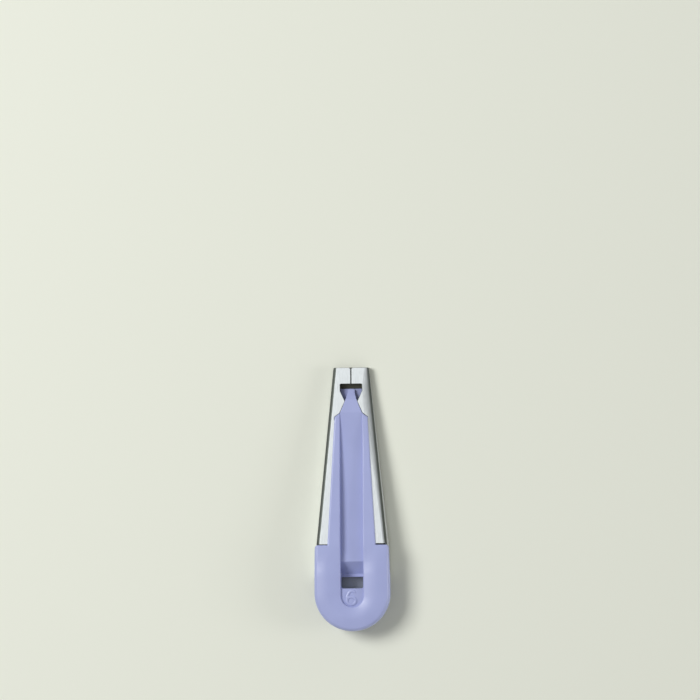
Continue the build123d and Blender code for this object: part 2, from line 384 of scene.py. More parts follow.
def brushedSteel(name, finish):
    # flats are brushed; by the way the faces turn, the bends get a painted dark shade and the
    # upright walls a painted tone of their own
    material, tree = startMaterial(name)
    grain = objectNoise(tree, finish["grainScale"], *finish["grainNoise"])
    smudge = objectNoise(tree, (finish["smudgeScale"],) * 3)
    facing = axesOf(tree, coordinates(tree, "Normal"))
    lampward = mathNode(tree, "MULTIPLY", facing["X"], -finish["lampSideShade"])
    leftward = mathNode(tree, "MAXIMUM", lampward, 0.0)
    upright = mathNode(tree, "ABSOLUTE", facing["Z"])
    flatness = mathNode(tree, "SUBTRACT", upright, leftward)  # painted shade on the bend beside the lamp, which would glare
    bent = remap(tree, upright, finish["wallWithin"], (0, 1))
    # painted shade and tone chosen by the normal: bends dark, upright walls their own tone
    sides = blend(tree, bent, finish["paintedWallTone"], finish["paintedBendShade"])
    flat = remap(tree, flatness, finish["flatBeyond"], (0, 1))
    faces = blend(tree, flat, sides, finish["colour"])
    streaks = remap(tree, grain, finish["grainBand"], finish["grainShade"])
    brushed = remap(tree, grain, finish["grainBand"], finish["grainGloss"])
    gloss = around(finish["roughness"], finish["smudgeGloss"])
    smudged = remap(tree, smudge, finish["smudgeBand"], gloss)
    bends = remap(tree, upright, finish["bendWithin"], (finish["bendRoughness"], 0))
    finishMaterial(tree, {
        "Base Color": blend(tree, 1, faces, streaks, "MULTIPLY"),
        "Metallic": 1,
        "Roughness": mathNode(tree, "ADD", mathNode(tree, "ADD", brushed, smudged), bends),
        "Normal": bump(tree, grain, finish["grainDepth"]),
    })
    return material


def shadePaintedSteel(finish):
    # the inside of the sheet: a painted dark shade at the tip, and a patchy painted bluish
    # reflection of the lavender plastic towards the rear, where fabric is fed in
    material, tree = startMaterial("inside_steel_painted_shade")
    along = axesOf(tree, coordinates(tree, "Object"))["Y"]
    grain = objectNoise(tree, finish["grainScale"], *finish["grainNoise"])
    lavenderReflectionBand = [(tipY - back) * mm for back in finish["lavenderReflectionWithin"]]
    # the painted reflection grows towards the rear
    lavenderReflection = remap(tree, along, lavenderReflectionBand, (0, 1))
    patchy = remap(tree, grain, finish["reflectionPatchBand"], finish["reflectionPatchShare"])
    reflectionShare = mathNode(tree, "MULTIPLY", lavenderReflection, patchy)
    gloss = around(finish["roughness"], finish["grainGloss"])
    finishMaterial(tree, {
        "Base Color": blend(tree, reflectionShare, finish["colour"], finish["lavenderReflection"]),
        "Metallic": 1,
        "Roughness": remap(tree, grain, finish["grainBand"], gloss),
        "Normal": bump(tree, grain, finish["grainDepth"]),
    })
    return material


def mouldedPlastic(name, finish):
    material, tree = startMaterial(name)
    flow = objectNoise(tree, (finish["flowScale"],) * 3)
    spark = objectNoise(tree, (finish["sparkScale"],) * 3, *finish["sparkNoise"])
    paler = remap(tree, flow, finish["flowBand"], (0, 1))
    gloss = around(finish["roughness"], finish["sparkGloss"])
    finishMaterial(tree, {
        "Base Color": blend(tree, paler, finish["colour"], finish["paler"]),
        "Roughness": remap(tree, spark, finish["sparkBand"], gloss),
        "Normal": bump(tree, spark, finish["sparkDepth"]),
    })
    return material


steel = brushedSteel("brushed_steel", steelFinish)
plastic = mouldedPlastic("lavender_plastic", plasticFinish)
print("materials made")


# Folded steel shell

shellSizes = {
    "bridge": 4.5,
    "slitHalf": 0.11,
    "slitCorner": 0.4,
    "windowHalf": 3.05,
    "windowStraight": 2.05,
    "windowCorner": 0.3,
    "neckAt": 9.35,
    "neckHalf": 1.74,
    "neckCorner": 0.15,
    "railCorner": 0.2,
    "earHeight": 6.2,
    "earEnd": 56.0,
    "wallEnd": 59.5,
    "floorEnd": 64.0,
    "floorTongueHalf": 8.5,
    "floorTongueCorner": 4.45,
    "floorTongueSteps": 14,
    "bossHole": 0.6,
    "bossAt": 52.6,
    "bossHeight": 5.5,
    "holeSides": 28,
    "slotStart": 17.0,
    "slotEnd": 44.0,
    "slotHalf": 1.1,
    "slotSteps": 12,
    "droop": 4.7,
    "droopEarly": 0.4,
    "droopLate": 2.0,
    "bendSteps": 12,
    "rows": 16,
    "tipCorner": 0.45,
    "tipCornerFlare": 0.06,
    "tipCornerInner": 0.5,
    "reliefInset": 0.3,
    "reliefPast": 0.1,
    "lipEase": 0.2,
    "lipStrip": 0.45,
    "skim": 0.02,
    "edgeRound": 0.13,
    "sharpDegrees": 32,
}

insideShadeFinish = {
    # painted shade: the inside of the sheet is painted dark, as it is seen only in shadow
    "colour": (0.055, 0.055, 0.045, 1),
    # a painted bluish reflection of the lavender plastic, seen through the web window
    "lavenderReflection": (0.24, 0.265, 0.33, 1),
    "lavenderReflectionWithin": (48.0, 62.0),
    "reflectionPatchBand": (0.3, 0.6),
    "reflectionPatchShare": (0.75, 1),
    "roughness": 0.5,
    "grainScale": (2600.0, 2600.0, 2600.0),
    "grainNoise": (3, 0.6),
    "grainBand": (0.3, 0.7),
    "grainGloss": (-0.08, 0.08),
    "grainDepth": 0.000002,
}

# inputs that both tubes share
tubeInputs = ("Tip Width", "Tip Height", "Rear Width", "Rear Height")
tubeInputs += ("Bend Radius", "Droop", "Knee", "Tip Y")


def addSockets(tree, sockets):
    for name, kind in sockets:
        tree.interface.new_socket(name=name, in_out="INPUT", socket_type=kind)
    tree.interface.new_socket(
        name="Geometry", in_out="OUTPUT", socket_type="NodeSocketGeometry")
    return addNode(tree, "NodeGroupInput"), addNode(tree, "NodeGroupOutput")


def taperedTubeTree(s):
    # a rounded rectangular tube that tapers from the knee to the tip and runs straight behind it
    tree = bpy.data.node_groups.new("taperedTube", "GeometryNodeTree")
    names = tubeInputs + ("Inset", "Start", "End")
    given, output = addSockets(tree, [(name, "NodeSocketFloat") for name in names])
    size = given.outputs

    def calc(operation, *sources):
        return mathNode(tree, operation, *sources)

    steps = s["bendSteps"]
    columns = 4 * (steps + 1)
    tube = addNode(tree, "GeometryNodeMeshCylinder", {
        "Vertices": columns,
        "Side Segments": s["rows"],
        "Radius": 1,
        "Depth": 2,  # from -1 in front over 0 at the knee to 1 behind
    }, fill_type="NGON")
    index = addNode(tree, "GeometryNodeInputIndex").outputs[0]
    row = axesOf(tree, addNode(tree, "GeometryNodeInputPosition").outputs[0])["Z"]
    behindKnee = calc("SUBTRACT", size["End"], size["Knee"])
    aheadOfKnee = calc("SUBTRACT", size["Knee"], size["Start"])
    behind = calc("MULTIPLY", calc("MAXIMUM", row, 0.0), behindKnee)
    ahead = calc("MULTIPLY", calc("MINIMUM", row, 0.0), aheadOfKnee)
    back = calc("ADD", size["Knee"], calc("ADD", behind, ahead))
    share = calc("MINIMUM", calc("DIVIDE", back, size["Knee"]), 1.0)
    # the columns of each quarter make one bend
    column = calc("MODULO", index, columns)
    nudged = calc("ADD", column, 0.25)  # a whole number stays whole after the division
    quadrant = calc("FLOOR", calc("DIVIDE", nudged, steps + 1))
    within = calc("SUBTRACT", column, calc("MULTIPLY", quadrant, steps + 1))
    turned = calc("ADD", quadrant, calc("DIVIDE", within, steps))
    turn = calc("MULTIPLY", turned, quarter)
    middle = calc("MULTIPLY", calc("ADD", quadrant, 0.5), quarter)
    radius = calc("SUBTRACT", size["Bend Radius"], size["Inset"])
    # the upper right bend is wider near the tip
    sides = calc("MULTIPLY", calc("COSINE", middle), calc("SINE", middle))
    right = calc("GREATER_THAN", calc("COSINE", middle), 0.0)
    upperRight = calc("MULTIPLY", right, calc("GREATER_THAN", sides, 0.0))
    early = calc("POWER", calc("MAXIMUM", share, 0.0), s["droopEarly"])
    late = calc("POWER", calc("SUBTRACT", 1.0, share), s["droopLate"])
    droop = calc("MULTIPLY", size["Droop"], calc("MULTIPLY", early, late))
    spread = calc("MULTIPLY", upperRight, droop)
    parts = []
    for wave, measure, wider in (("COSINE", "Width", spread), ("SINE", "Height", 0.0)):
        tip = size["Tip " + measure]
        growth = calc("MULTIPLY", share, calc("SUBTRACT", size["Rear " + measure], tip))
        half = calc("MULTIPLY", calc("ADD", tip, growth), 0.5)
        reach = calc("SUBTRACT", calc("SUBTRACT", half, size["Bend Radius"]), wider)
        corner = calc("MULTIPLY", calc("SIGN", calc(wave, middle)), reach)
        arc = calc("MULTIPLY", calc("ADD", radius, wider), calc(wave, turn))
        parts.append((half, calc("ADD", corner, arc)))
    joined = addNode(tree, "ShaderNodeCombineXYZ", {
        "X": parts[0][1],
        "Y": calc("SUBTRACT", size["Tip Y"], back),
        "Z": calc("ADD", *parts[1]),
    })
    feeds = {"Geometry": tube.outputs["Mesh"], "Position": joined.outputs[0]}
    moved = addNode(tree, "GeometryNodeSetPosition", feeds)
    tree.links.new(moved.outputs["Geometry"], output.inputs["Geometry"])
    return tree


def foldedShellTree(tubeTree):
    # outer tube less the inner one and the cutters
    tree = bpy.data.node_groups.new("foldedShell", "GeometryNodeTree")
    sockets = [("Geometry", "NodeSocketGeometry"), ("Cutters", "NodeSocketObject")]
    sockets += [(name, "NodeSocketFloat") for name in tubeInputs + ("Sheet", "End", "Over")]
    sockets += [(name, "NodeSocketMaterial") for name in ("Outside", "Inside")]
    given, output = addSockets(tree, sockets)
    size = given.outputs
    shared = {name: size[name] for name in tubeInputs}
    feeds = {**shared, "End": size["End"]}
    outer = addNode(tree, "GeometryNodeGroup", feeds, node_tree=tubeTree)
    inner = addNode(tree, "GeometryNodeGroup", {
        **shared,
        "Inset": size["Sheet"],
        "Start": mathNode(tree, "MULTIPLY", size["Over"], -1.0),
        "End": mathNode(tree, "ADD", size["End"], size["Over"]),
    }, node_tree=tubeTree)
    feeds = {"Geometry": inner.outputs["Geometry"], "Material": size["Inside"]}
    dull = addNode(tree, "GeometryNodeSetMaterial", feeds)
    cutters = addNode(tree, "GeometryNodeObjectInfo", {"Object": size["Cutters"]})
    cut = addNode(tree, "GeometryNodeMeshBoolean", {
        "Mesh 1": outer.outputs["Geometry"],
        "Mesh 2": dull.outputs["Geometry"],
        "Self Intersection": True,
    }, operation="DIFFERENCE", solver="EXACT")
    tree.links.new(cutters.outputs["Geometry"], cut.inputs["Mesh 2"])
    # what isn't the inside is brushed, the cut edges too
    inside = addNode(tree, "GeometryNodeMaterialSelection", {"Material": size["Inside"]})
    feeds = {0: inside.outputs["Selection"]}
    outside = addNode(tree, "FunctionNodeBooleanMath", feeds, operation="NOT")
    real = addNode(tree, "GeometryNodeRealizeInstances", {"Geometry": cut.outputs["Mesh"]})
    finish = addNode(tree, "GeometryNodeSetMaterial", {
        "Geometry": real.outputs["Geometry"],
        "Selection": outside.outputs[0],
        "Material": size["Outside"],
    })
    tree.links.new(finish.outputs["Geometry"], output.inputs["Geometry"])
    return tree


def shellCutters(s):
    t = toolSizes
    fit = t["fit"]
    over = t["over"]
    lipEnd = t["lipEnd"]
    wide = t["rearWidth"]
    high = 2 * t["rearHeight"]
    lipInset = t["grooveDepth"] - fit
    start = t["grooveStart"]
    opening = roundedCorners([
        (0, s["bridge"], 0),
        (s["windowHalf"], s["bridge"], s["windowCorner"]),
        (s["windowHalf"], s["bridge"] + s["windowStraight"], s["neckCorner"]),
        (s["neckHalf"], s["neckAt"], s["neckCorner"]),
        (t["channelHalf"] + fit, t["tongueRoot"] - fit, s["neckCorner"]),
        (t["railFrontHalf"] + fit, t["railFront"] - fit, s["railCorner"]),
        (railHalf(start) + fit, start, 0),
        (railHalf(start) - lipInset, start, 0),
        (railHalf(lipEnd) - lipInset, lipEnd, 0),
        (0, lipEnd, 0),
    ])
    flared = s["slitHalf"] + s["slitCorner"] + over
    slit = roundedCorners([
        (0, -over, 0),
        (flared, -over, 0),
        (flared, 0, 0),
        (s["slitHalf"], 0, s["slitCorner"]),
        (s["slitHalf"], s["bridge"] + over, 0),
        (0, s["bridge"] + over, 0),
    ])
    floorSide = roundedCorners([
        (0, s["floorEnd"] + over, 0),
        (wide, s["floorEnd"] + over, 0),
        (wide, s["wallEnd"], 0),
        (s["floorTongueHalf"], s["wallEnd"], 0),
        (s["floorTongueHalf"], s["floorEnd"], s["floorTongueCorner"]),
        (0, s["floorEnd"], 0),
    ], s["floorTongueSteps"])
    cutAbove = [
        (lipEnd, s["earHeight"]),
        (s["earEnd"], s["earHeight"]),
        (s["wallEnd"], t["sheet"] + s["skim"]),
        (s["floorEnd"] + 2 * over, t["sheet"] + s["skim"]),
        (s["floorEnd"] + 2 * over, high),
        (lipEnd, high),
    ]
    radius = s["slotHalf"]
    slot = []
    for centre, first in ((s["slotEnd"] - radius, 0), (s["slotStart"] + radius, math.pi)):
        slot += arcPoints(0, centre, radius, radius, sweepAngles(s["slotSteps"], math.pi, first))
    radius = s["bossHole"]
    angles = circleAngles(s["holeSides"])
    hole = arcPoints(s["bossAt"], s["bossHeight"], radius, radius, angles)
    cornerEnd = s["tipCorner"] + s["skim"]
    tipCorner = roundedCorners([
        (t["tipWidth"], -over, 0),
        (t["tipWidth"], cornerEnd, 0),
        (t["tipWidth"] / 2 + s["tipCornerFlare"], cornerEnd, 0),
        (t["tipWidth"] / 2 + s["skim"], 0, s["tipCorner"]),
        (s["tipCornerInner"], 0, 0),
        (s["tipCornerInner"], -over, 0),
    ])
    reliefInner = railHalf(lipEnd) - s["reliefInset"]
    reliefOuter = t["rearWidth"] / 2 - s["lipStrip"]
    relief = [
        (reliefInner, lipEnd - s["lipEase"]),
        (reliefOuter, lipEnd - s["lipEase"]),
        (reliefOuter, lipEnd + s["reliefPast"]),
        (reliefInner, lipEnd + s["reliefPast"]),
    ]
    made = [
        prismUp("relief", relief, s["earHeight"], high),
        prismUp("tipRight", tipCorner, -over, high),
        prismUp("tipLeft", [(-x, back) for x, back in tipCorner], -over, high),
        prismUp("opening", bothSides(opening), t["tipHeight"] / 2, high),
        prismUp("slit", bothSides(slit), t["tipHeight"] / 2, high),
        prismUp("floorSide", bothSides(floorSide), -over, over),
        prismAcross("above", cutAbove, -wide, wide),
        prismUp("slot", slot, -over, over),
        prismAcross("holes", hole, -wide, wide),
    ]
    print("shell cutters made", len(made))
    with bpy.context.temp_override(active_object=made[0], selected_editable_objects=made):
        bpy.ops.object.join()
    return made[0]


def setInputs(modifier, values):
    for item in modifier.node_group.interface.items_tree:
        if item.in_out == "INPUT" and item.name in values:
            modifier[item.identifier] = values[item.name]


def makeShell(s):
    t = toolSizes
    made = newObject("steel_shell", bpy.data.meshes.new("steel_shell"))
    cutters = shellCutters(s)
    fold = made.modifiers.new("fold", "NODES")
    fold.node_group = foldedShellTree(taperedTubeTree(s))
    setInputs(fold, {
        "Tip Width": t["tipWidth"],
        "Tip Height": t["tipHeight"],
        "Rear Width": t["rearWidth"],
        "Rear Height": t["rearHeight"],
        "Bend Radius": t["bendRadius"],
        "Droop": s["droop"],
        "Sheet": t["sheet"],
        "Knee": t["lipEnd"],
        "End": s["floorEnd"],
        "Tip Y": tipY,
        "Over": t["over"],
        "Cutters": cutters,
        "Outside": steel,
        "Inside": shadePaintedSteel(insideShadeFinish),
    })
    settle(made)
    bpy.data.objects.remove(cutters)
    finishPiece(made, "folder_shell", None, s["sharpDegrees"], s["edgeRound"])


makeShell(shellSizes)


# Web guide: rails and head as one sweep round the channel, then floor, ramp, recess, tongue and keel

guideSizes = {
    "channelDepth": 2.0,
    "frontDepth": 0.2,
    "depthGrowth": 13.0,
    "plate": 0.9,
    "floorRows": 18,
    "floorBunching": 1.3,
    "rampStart": 54.0,
    "rampEnd": 58.4,
    "rampDepth": 4.9,
    "rampCheek": 0.8,
    "rampRows": (0.05, 0.02),
    "noseLength": 0.95,
    "footRounds": (0.6, 0.22),
    "windowEnd": 61.5,
    "windowCorner": 0.6,
    "recessEnd": 66.6,
    "recessDepth": 1.35,
    "recessSteps": 16,
    "levelAt": 57.0,
    "crease": 20.0,
    "overhang": 0.65,
    "shoulder": 0.9,
    "crown": 0.62,
    "crownCurve": 1.6,
    "crownFrom": 48.8,
    "crownTo": 57.0,
    "barrel": 0.22,
    "wallRound": 0.34,
    "wallRoundFront": 0.15,
    "wallRoundGrowth": 0.02,
    "railRound": 0.48,
    "frontRound": 0.45,
    "headRound": 0.95,
    "lowerRound": 0.4,
    "railLowerRound": 0.08,
    "railCorner": 0.25,
    "roundShare": 0.4,
    "lowerShare": 0.3,
    "cheekShare": 0.35,
    "pocketEnd": 57.15,
    "pocketTop": 6.3,
    "pocketSide": 12.0,
    "grooveLead": 0.1,
    "waistAt": 7.9,
    "waistHalf": 1.25,
    "tongueTipHalf": 0.72,
    "crestAt": 9.0,
    "tipStep": 0.3,
    "tongueRows": (0.04, 0.15),
    "tongueNoseCut": 0.1,
    "tongueRound": 0.16,
    "tongueEase": 0.75,
    "tongueFlare": 1.12,
    "tongueThin": 0.12,
    "tongueSink": 0.06,
    "tongueOverlap": 0.9,
    "tongueSteps": (6, 4, 8),
    "keelFront": 0.2,
    "keelStep": 0.05,
    "keelEnd": 50.0,
    "pegRadius": 0.75,
    "pegPlaces": (14.5, 47.0),
    "pegInto": 0.1,
    "bossRadius": 0.55,
    "bossInto": 0.3,
    "barSides": 28,
    "numeralX": -0.27,
    "bowlAt": 64.92,
    "bowlHalf": (1.24, 1.08),
    "bowlSteps": 28,
    "tailHalf": (1.49, 2.46),
    "tailShift": (0.28, 0.3),
    "tailSweep": 0.73,
    "tailSteps": 16,
    "strokeHalf": 0.4,
    "strokeHigh": 0.27,
    "strokeSides": 10,
    "strokeEnd": (0.4, 0.3),
    "joint": 0.16,  # how far a joined solid reaches into its neighbour
    "lift": 0.03,
    "wallSteps": 5,
    "topSteps": 14,
    "rimSteps": 9,
    "lowerSteps": 4,
    "sharpDegrees": 33,
}

# rows of the sweep: how many, and how far the channel's side goes on while the outer side turns
sweepRows = {
    "frontShares": (0.05, 0.3, 0.65, 1.0),
    "frontOn": 0.3,
    "corner": (6, 0.8),
    "rail": (12, 0.5),  # count, start
    "notch": (3, 0.05),
    "edge": (4, 0.15, 0.1),  # count, start, on for each row
    "shoulder": (8, 0.55, 0.06),
    "arm": (18, 1.03, 0.25),  # count, start, least gap
    "rear": 26,
}


def channelFloor(back):
    # shallow at the tongue, then deeper, and level with its full depth before the ramp
    g = guideSizes
    root = toolSizes["tongueRoot"]
    grown = 1 - math.exp((root - back) / g["depthGrowth"])
    full = 1 - math.exp((root - g["rampStart"]) / g["depthGrowth"])
    return railTop(back) - g["frontDepth"] - (g["channelDepth"] - g["frontDepth"]) * grown / full


def guideUnder(back):
    t = toolSizes
    root = t["tongueRoot"]
    lifted = t["headUnder"] - t["frontUnder"]
    return t["frontUnder"] + lifted * (back - root) / (t["headFront"] - root)


def rampUnderside():
    g = guideSizes
    return railTop(g["levelAt"]) - g["rampDepth"] - g["plate"]


def headLine(back):
    # the head's top along its middle: in line with the rails in front, level behind
    g = guideSizes
    level = railTop(g["levelAt"])
    slope = (toolSizes["rearHeight"] - toolSizes["tipHeight"]) / toolSizes["lipEnd"]
    reach = g["crease"] * math.tan(math.atan(slope) / 2)
    if back > g["levelAt"] + reach:
        return level
    if back < g["levelAt"] - reach:
        return railTop(back)
    return level - (g["levelAt"] + reach - back) ** 2 * slope / (4 * reach)


def guideStations():
    # (inner, outer, outward, rim radius, lower radius) for x > 0,
    # from the rail's front to the middle of the rear
    t = toolSizes
    g = guideSizes
    rows = sweepRows
    inner = t["channelHalf"]
    root = t["tongueRoot"]
    front = t["headFront"]
    railRim = g["railRound"]
    railLower = g["railLowerRound"]
    headHalf = t["rearWidth"] / 2 + g["overhang"]
    headCentre = headEnd - headHalf
    recessCentre = g["recessEnd"] - inner
    made = []

    def add(innerBack, outer, outward, rim, lower):
        made.append(((inner, innerBack), outer, outward, rim, lower))

    # the rail's slanted front and its rounded corner
    frontStart = Vector((inner, root))
    frontEnd = Vector((t["railFrontHalf"], t["railFront"]))
    along = (frontEnd - frontStart).normalized()
    frontward = Vector((along.y, -along.x))
    railAlong = Vector((railHalf(root + 1) - railHalf(root), 1)).normalized()
    sideward = Vector((railAlong.y, -railAlong.x))
    reach = g["railCorner"] * math.tan(along.angle(railAlong) / 2)
    length = (frontEnd - frontStart).length - reach
    for share in rows["frontShares"]:
        outer = frontStart + along * length * share
        add(root + rows["frontOn"] * share, outer, frontward, railRim, railLower)
    centre = frontStart + along * length - frontward * g["railCorner"]
    steps, on = rows["corner"]
    for k in range(1, steps + 1):
        outward = frontward.lerp(sideward, k / steps).normalized()
        back = root + rows["frontOn"] + on * k / steps
        add(back, centre + outward * g["railCorner"], outward, railRim, railLower)

    # the rail's side
    steps, start = rows["rail"]
    for back in spaced(t["railFront"] + start, front, steps):
        add(back, Vector((railHalf(back), back)), sideward, railRim, railLower)

    # the notch between rail and head, then the head's front edge and its shoulder
    tipward = Vector((0, -1))
    notch = Vector((railHalf(front), front))
    steps, on = rows["notch"]
    for k in range(1, steps + 1):
        outward = sideward.lerp(tipward, k / steps).normalized()
        rim = railRim + (g["frontRound"] - railRim) * k / steps
        add(front + on * k, notch, outward, rim, railLower)
    shoulderX = headHalf - g["barrel"] - g["shoulder"]
    steps, start, on = rows["edge"]
    for k in range(1, steps + 1):
        x = notch.x + (shoulderX - notch.x) * k / steps
        lower = railLower + (g["lowerRound"] - railLower) * k / steps
        add(front + start + on * k, Vector((x, front)), tipward, g["frontRound"], lower)
    steps, start, on = rows["shoulder"]
    for k in range(1, steps + 1):
        angle = quarter * k / steps
        outward = Vector((math.sin(angle), -math.cos(angle)))
        point = Vector((shoulderX, front + g["shoulder"])) + outward * g["shoulder"]
        rim = g["frontRound"] + (g["headRound"] - g["frontRound"]) * k / steps
        add(front + start + on * k, point, outward, rim, g["lowerRound"])

    # the head's arm, with rows of its own at both ends of the ramp
    steps, start, gap = rows["arm"]
    first = front + start
    afterStart, afterEnd = g["rampRows"]
    fixed = [g["rampStart"], g["rampStart"] + afterStart, g["rampEnd"], g["rampEnd"] + afterEnd]
    free = []
    for row in spaced(first, recessCentre, steps):
        if all(abs(row - other) > gap for other in fixed):
            free.append(row)
    outerStart = front + g["shoulder"]
    for back in sorted(fixed + free):
        share = (back - first) / (recessCentre - first)
        side = headHalf - g["barrel"] * (1 - share) ** 2
        point = Vector((side, outerStart + (headCentre - outerStart) * share))
        lean = -2 * g["barrel"] * (1 - share) / (headCentre - outerStart)
        add(back, point, Vector((1, lean)).normalized(), g["headRound"], g["lowerRound"])

    # the round rear
    for angle in sweepAngles(rows["rear"], quarter)[1:]:
        outward = Vector((math.cos(angle), math.sin(angle)))
        near = (inner * outward.x, recessCentre + inner * outward.y)
        outer = Vector((0, headCentre)) + outward * headHalf
        made.append((near, outer, outward, g["headRound"], g["lowerRound"]))
    return made


def guideSection(inner, outer, outward, rim, lower):
    # one loop: channel wall, top, rim, outer wall, underside and cheek
    t = toolSizes
    g = guideSizes
    near = Vector(inner)
    far = Vector(outer)
    width = (far - near).length
    toward = (far - near).normalized()
    back = near.y
    grown = g["wallRoundFront"] + g["wallRoundGrowth"] * (back - t["tongueRoot"])
    wallRound = min(g["wallRound"], g["roundShare"] * width, grown)
    rim = min(rim, g["roundShare"] * width)
    lower = min(lower, g["lowerShare"] * width)
    cheek = min(g["rampCheek"], g["cheekShare"] * width)

    def topAt(point):
        share = min(max((point - near).dot(toward) / width, 0), 1)
        depth = g["crown"] * smoothStep(g["crownFrom"], g["crownTo"], point.y)
        return headLine(point.y) - depth * abs(2 * share - 1) ** g["crownCurve"]

    underside = guideUnder(min(far.y, t["headFront"]))
    innerUnder = guideUnder(min(back, t["headFront"]))
    cheekUnder = innerUnder
    if g["rampStart"] < back < g["rampEnd"] + t["hair"]:
        drop = t["headUnder"] - rampUnderside()
        cheekUnder -= drop * (back - g["rampStart"]) / (g["rampEnd"] - g["rampStart"])
    points = [(near, cheekUnder)]
    for angle in sweepAngles(g["wallSteps"], quarter):
        point = near + toward * wallRound * (1 - math.cos(angle))
        points.append((point, topAt(point) - wallRound * (1 - math.sin(angle))))
    start = near + toward * wallRound
    end = far - outward * rim
    for k in range(1, g["topSteps"]):
        point = start.lerp(end, k / g["topSteps"])
        points.append((point, topAt(point)))
    for angle in sweepAngles(g["rimSteps"], quarter):
        point = far - outward * rim * (1 - math.sin(angle))
        points.append((point, topAt(point) - rim * (1 - math.cos(angle))))
    for angle in sweepAngles(g["lowerSteps"], quarter):
        point = far - outward * lower * (1 - math.cos(angle))
        points.append((point, underside + lower * (1 - math.sin(angle))))
    points.append((near + toward * cheek, innerUnder))
    points.append((near + toward * cheek, cheekUnder))
    return [place(point.x, point.y, z) for point, z in points]


def sweptArms():
    right = [guideSection(*station) for station in guideStations()]
    left = [[(-x, y, z) for x, y, z in loop] for loop in right[:-1]]
    return solidFrom("web_guide_moulding", right + left[::-1])


def guidePockets(inner):
    # room for the shell's ears beside the head, and grooves for its lips along the rails
    t = toolSizes
    g = guideSizes
    front = t["lipEnd"] - t["over"]
    rear = g["pocketEnd"]
    made = []
    for side in (-1, 1):
        wall = side * inner
        outside = side * g["pocketSide"]
        box = [(wall, front), (outside, front), (outside, rear), (wall, rear)]
        made.append(prismUp("pocket", box, t["headUnder"] - t["over"], g["pocketTop"]))
        groove = []
        for back in (t["grooveStart"] - g["grooveLead"], t["headFront"] + t["hair"]):
            near = side * (railHalf(back) - t["grooveDepth"])
            high = lipHeight(back) + t["fit"]
            low = high - t["sheet"] - 2 * t["fit"]
            corners = ((near, low), (outside, low), (outside, high), (near, high))
            groove.append([place(x, back, z) for x, z in corners])
        made.append(solidFrom("groove", groove))
    return made


def channelPlate():
    # the channel's floor, and the ramp with its rounded foot
    t = toolSizes
    g = guideSizes
    root = t["tongueRoot"]
    rampStart = g["rampStart"]
    rampRear = g["rampEnd"] - t["hair"]
    rampBottom = railTop(g["levelAt"]) - g["rampDepth"]
    rearUnder = rampUnderside() + g["lift"]
    headUnder = t["headUnder"] + g["lift"]
    noseRound, heelRound = g["footRounds"]
    foot = roundedCorners([
        (rampStart, channelFloor(rampStart), 0),
        (g["rampEnd"] - g["noseLength"], rampBottom, noseRound),
        (rampRear, rampBottom, heelRound),
        (rampRear, rearUnder, 0),
    ])[1:-1]
    steps = g["floorRows"]
    rows = []
    for k in range(steps + 1):
        rows.append(root + (rampStart - root) * (k / steps) ** g["floorBunching"])
    reach = t["channelHalf"] + g["joint"]
    return prismAcross("plate", [
        *[(back, channelFloor(back)) for back in rows],
        *foot,
        (rampRear, rearUnder),
        (rampStart, headUnder),
        (t["headFront"], headUnder),
        (root, guideUnder(root) + g["lift"]),
    ], -reach, reach)


def recessPlug():
    # the recess's floor, with rounded corners at the web window
    t = toolSizes
    g = guideSizes
    half = t["channelHalf"]
    wide = half + g["joint"]
    centre = g["recessEnd"] - half
    cornerEnd = g["windowEnd"] - g["windowCorner"] - t["hair"]
    outline = roundedCorners([
        (0, g["windowEnd"], 0),
        (half, g["windowEnd"], g["windowCorner"]),
        (half, cornerEnd, 0),
        (wide, cornerEnd, 0),
        (wide, centre, 0),
    ])
    outline += arcPoints(0, centre, wide, wide, sweepAngles(g["recessSteps"], quarter)[1:])
    top = railTop(g["levelAt"]) - g["recessDepth"]
    return prismUp("plug", bothSides(outline), t["headUnder"] + g["lift"], top)


def keelBlade():
    # the narrow keel that carries the core
    t = toolSizes
    g = guideSizes
    front = t["tongueTip"] + g["keelFront"]
    seat = guideUnder(t["tongueTip"]) - t["fabricGap"]
    into = 2 * t["fit"]
    half = t["keelHalf"] - t["hair"]
    return prismAcross("keel", [
        (front, seat),
        (front, seat + g["keelStep"]),
        (g["waistAt"], guideUnder(g["waistAt"]) + into),
        (g["keelEnd"], guideUnder(g["keelEnd"]) + into),
        (g["keelEnd"], guideUnder(g["keelEnd"]) - t["fabricGap"]),
    ], -half, half)


